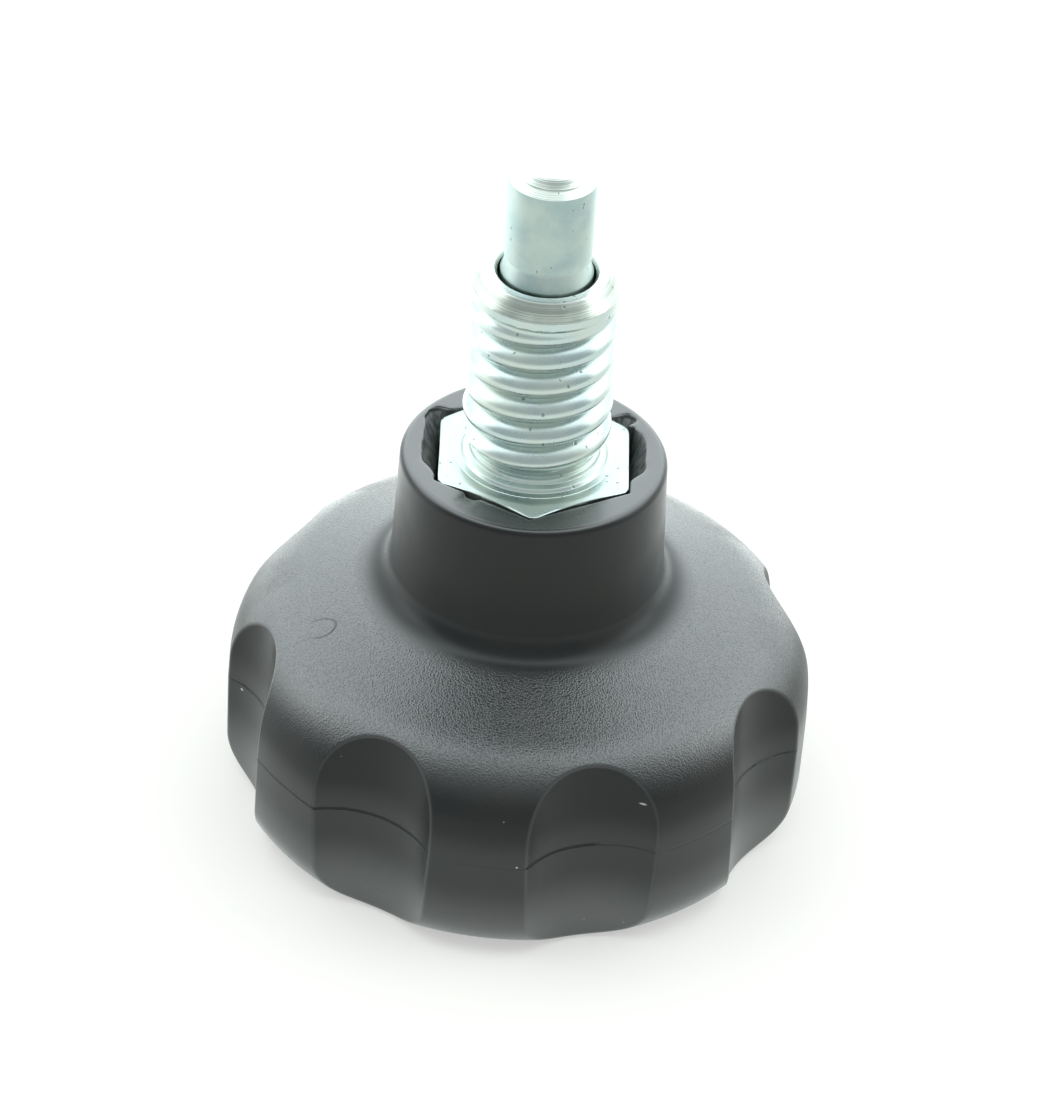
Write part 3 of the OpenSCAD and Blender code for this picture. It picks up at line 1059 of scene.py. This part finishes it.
def buildPin():
    p = pinSize
    flareZ = noseZ + p["flareUp"]
    guideLow = noseZ - p["guideLen"]
    edgeZ = tipZ - p["chamfer"] * 0.9
    stepR = p["noseR"] - p["chamfer"] * 0.6
    stepZ = tipZ - p["chamfer"] * 0.4
    faceR = p["noseR"] - p["chamfer"]
    lowZ = pinLow.z / mm
    path = roundPath([
        # stem and guide
        (0, lowZ, 0), (p["stemR"] - 0.3, lowZ, 0), (p["stemR"], lowZ + 0.3, 0), (p["stemR"], guideLow, 0.2),
        (p["guideR"] - 0.3, guideLow, 0), (p["guideR"], guideLow + 0.3, 0.1), (p["guideR"], noseZ, 0.3),
        # flare, undercut and nose
        (p["neckR"], flareZ - 0.3, 0.2), (p["neckR"], flareZ, 0.04), (p["noseR"], flareZ + 0.12, 0.06),
        (p["noseR"], edgeZ - 0.02, 0.04),
        # the chamfer, turned in steps
        (stepR + 0.32, edgeZ + 0.62, 0.05), (stepR + 0.24, stepZ - 0.08, 0.04),
        (stepR - 0.02, stepZ - 0.02, 0.05), (faceR + 0.22, tipZ - 0.12, 0.08), (faceR, tipZ, 0.06),
        (0, tipZ, 0)], 15)
    points, faces = [], []
    lathe(path, evenAngles(p["columns"]), points, faces)
    return newPiece("lockingPin", points, faces, pinSteel, sharpDegrees=28)


lockingPin = buildPin()


# Return spring.

springSize = {"wireR": 0.55, "coilR": 4.1, "turns": 10, "perTurn": 40, "wireSides": 16}


def springTree():
    # a coil whose first and last turns lie flat
    tree, given = newTree("coilSpring", {
        "Wire radius": 0.00055, "Coil radius": 0.0041, "Turns": 10.0, "Low height": 0.0325,
        "High height": 0.0587}, {"Steps": 400, "Wire sides": 16})
    turns, low, wireR = given["Turns"], given["Low height"], given["Wire radius"]
    line = result(tree, "GeometryNodeCurvePrimitiveLine")
    steps = result(tree, "GeometryNodeResampleCurve", {"mode": "COUNT"}, Curve=line, Count=given["Steps"])
    turn = result(tree, "GeometryNodeSplineParameter", output="Factor") * turns
    angle = turn * (2 * math.pi)
    wire = wireR * 2.0
    # each flat end turn rises by one wire, and the turns between share the rest
    lastTurn = math2("SUBTRACT", turn, turns - 1.0, clamp=True)
    middle = math2("DIVIDE", turn - 1.0, turns - 2.0, clamp=True)
    span = given["High height"] - low - wire * 3.0
    height = (least(turn, 1.0) + lastTurn) * wire + middle * span + low + wireR
    place = result(tree, "ShaderNodeCombineXYZ", X=given["Coil radius"] * math2("COSINE", angle),
                   Y=given["Coil radius"] * math2("SINE", angle), Z=height)
    coil = result(tree, "GeometryNodeSetPosition", Geometry=steps, Position=place)
    section = result(tree, "GeometryNodeCurvePrimitiveCircle", Resolution=given["Wire sides"], Radius=wireR)
    swept = result(tree, "GeometryNodeCurveToMesh", Curve=coil, Profile_Curve=section, Fill_Caps=True)
    return endTree(tree, given, swept)


def buildSpring():
    s = springSize
    mesh = runTree("coilSpring", springTree(), {
        "Wire radius": s["wireR"] * mm, "Coil radius": s["coilR"] * mm, "Turns": float(s["turns"]),
        "Low height": springLow.z, "High height": springHigh.z, "Steps": s["turns"] * s["perTurn"] + 1,
        "Wire sides": s["wireSides"], "Material": springSteel})
    return finishPiece("returnSpring", mesh, sharpDegrees=50)


returnSpring = buildSpring()


# What rides on what.

for piece, body, node, slotName in ((handKnob, "plunger", "knob", "knob_plastic"),
                                    (threadedSleeve, "barrel", "sleeve", "sleeve_zinc"),
                                    (lockingPin, "plunger", "pin", "pin_steel"),
                                    (returnSpring, "barrel", "spring", "spring_steel")):
    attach(piece, body)
    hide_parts(node)
insertNode = frame["nodes"]["knob_insert"]
insertNode.data.materials.clear()
insertNode.data.materials.append(insertBrass)
pullTravel = next(j["range_m"][1] for j in frame["joints"] if j["name"] == "pull")
springLength = springHigh.z - springLow.z
(springLength - pullTravel) / springLength
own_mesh(returnSpring)
print("pieces ride on their bodies")


# Floor, light and camera.

studio = {
    "floorColor": (0.91, 0.875, 0.80),
    "floorReach": 4.0,
    "floorDrop": 0.00002,     # a hair under the knob's foot, so that the two faces don't share a plane
    "glowShare": 0.45,        # how far the paper is plain white to the camera
    "farGlow": 3.0,           # how bright polished things mirror the floor behind the object
    "farReach": 0.09,         # where it is that bright
    "front": 0.60,            # how bright the room is low in front
    "above": 2.15,            # and above and behind
    "aboveFrom": 0.08,        # how far back and up the one turns into the other
    "aboveTo": 0.40,
    "horizonShare": 0.62,
    "patch": 0.0,             # how much light the dark patch nearly overhead still gives
    "patchPlace": (0.0, 0.19, 0.98),
    "patchEdge": (0.925, 0.976),
    "tint": (0.91, 1.0, 1.02),
    "aim": (0.0, 0.0, 0.03),  # what the soft panels face
    # place, size and radiance of the soft panels, and whether polished things mirror them
    "lamps": {
        "panelLeft": ((-0.95, 0.05, 0.35), (0.5, 0.6), 1.4, True),
        "panelRight": ((0.95, 0.05, 0.35), (0.5, 0.6), 1.4, True),
        "panelTop": ((0.0, 0.25, 1.0), (1.0, 1.0), 0.2, False),
    },
}


def makeFloor():
    mesh = bpy.data.meshes.new("studioFloor")
    reach, low = studio["floorReach"], -studio["floorDrop"]
    corners = [(-reach, -reach, low), (reach, -reach, low), (reach, reach, low), (-reach, reach, low)]
    mesh.from_pydata(corners, [], [(0, 1, 2, 3)])
    floor = bpy.data.objects.new("studioFloor", mesh)
    scene.collection.objects.link(floor)
    material, tree, shader = newMaterial("floorPaper", studio["floorColor"], 0.8)
    # seen by the camera, and mirrored in the metal, the paper is plain white outside the shadow
    light = results(tree.nodes.new("ShaderNodeLightPath"))
    mirrored = light["Is Glossy Ray"]
    seen = most(most(light["Is Camera Ray"], mirrored), light["Is Transmission Ray"])
    x, y = parts(objectCoords(tree))[:2]
    far = mapRange(y - x * 0.3, 0.0, studio["farReach"], 0.0, studio["farGlow"] - 1)
    glow = result(tree, "ShaderNodeEmission", Color=mixColor(mirrored, (1, 1, 1), studio["tint"]),
                  Strength=far * mirrored + 1.0)
    both = result(tree, "ShaderNodeMixShader", i0=seen * studio["glowShare"],
                  i1=Result(shader.outputs[0]), i2=glow)
    # clear from below, so that the knob's outer face can be looked at
    below = result(tree, "ShaderNodeNewGeometry", output="Backfacing")
    through = result(tree, "ShaderNodeBsdfTransparent")
    sheet = result(tree, "ShaderNodeMixShader", i0=below, i1=both, i2=through)
    feed(tree.nodes["Material Output"].inputs["Surface"], sheet)
    mesh.materials.append(material)
    # the knob stands on the floor, so as it is pulled the floor stays under it
    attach(floor, "plunger")


def makeWorld():
    world = bpy.data.worlds.new("studioWorld")
    scene.world = world
    world.use_nodes = True
    tree = world.node_tree
    # the room is bright above and behind the object, dim low in front, with a dark patch nearly overhead
    ray = result(tree, "ShaderNodeTexCoord", output="Generated")
    y, z = parts(ray)[1:]
    level = mapRange(y + z * 0.75, studio["aboveFrom"], studio["aboveTo"], 0.0,
                     studio["above"] - studio["front"])
    level *= mapRange(z, 0.0, 0.45, studio["horizonShare"], 1.0)
    toPatch = result(tree, "ShaderNodeVectorMath", {"operation": "DOT_PRODUCT"}, output="Value", i0=ray,
                     i1=Vector(studio["patchPlace"]).normalized())
    clear = mapRange(toPatch, *studio["patchEdge"], 1.0, studio["patch"])
    pale = (level + studio["front"]) * clear
    red, green, blue = (pale * part for part in studio["tint"])
    room = result(tree, "ShaderNodeCombineColor", Red=red, Green=green, Blue=blue)
    seen = result(tree, "ShaderNodeLightPath", output="Is Camera Ray")
    feed(tree.nodes["Background"].inputs["Color"], mixColor(seen, room, (1, 1, 1)))


def makeLamps():
    aim = Vector(studio["aim"])
    for name, (place, size, radiance, mirrored) in studio["lamps"].items():
        data = bpy.data.lights.new(name, "AREA")
        data.shape = "RECTANGLE"
        data.size, data.size_y = size
        data.energy = radiance * math.pi * size[0] * size[1]
        lamp = bpy.data.objects.new(name, data)
        lamp.location = place
        lamp.visible_glossy = mirrored
        lamp.rotation_mode = "QUATERNION"
        lamp.rotation_quaternion = (aim - Vector(place)).to_track_quat("-Z", "Y")
        scene.collection.objects.link(lamp)


cameraSetup = {
    "place": (0.0, -0.5192, 0.4154),
    "yaw": 0.001,             # radians
    "down": 0.638,
    "roll": 0.070,
    "focal": 194.9458,        # millimetres, for a sensor 36 wide
    "sensor": 36,
}


def makeCamera():
    c = cameraSetup
    yaw, down, roll = c["yaw"], c["down"], c["roll"]
    data = bpy.data.cameras.new("studioCamera")
    data.sensor_width = c["sensor"]
    data.lens = c["focal"]
    data.clip_start, data.clip_end = 0.01, 50
    ahead = Vector((math.sin(yaw) * math.cos(down), math.cos(yaw) * math.cos(down), -math.sin(down)))
    right = ahead.cross(Vector((0, 0, 1))).normalized()
    up = right.cross(ahead)
    rolledRight = right * math.cos(roll) + up * math.sin(roll)
    rolledUp = up * math.cos(roll) - right * math.sin(roll)
    camera = bpy.data.objects.new("studioCamera", data)
    turn = Matrix((rolledRight, rolledUp, -ahead)).transposed()
    camera.matrix_world = Matrix.Translation(c["place"]) @ turn.to_4x4()
    scene.collection.objects.link(camera)
    scene.camera = camera


makeFloor()
makeWorld()
makeLamps()
makeCamera()
scene.view_settings.view_transform = "Standard"
print("studio ready")
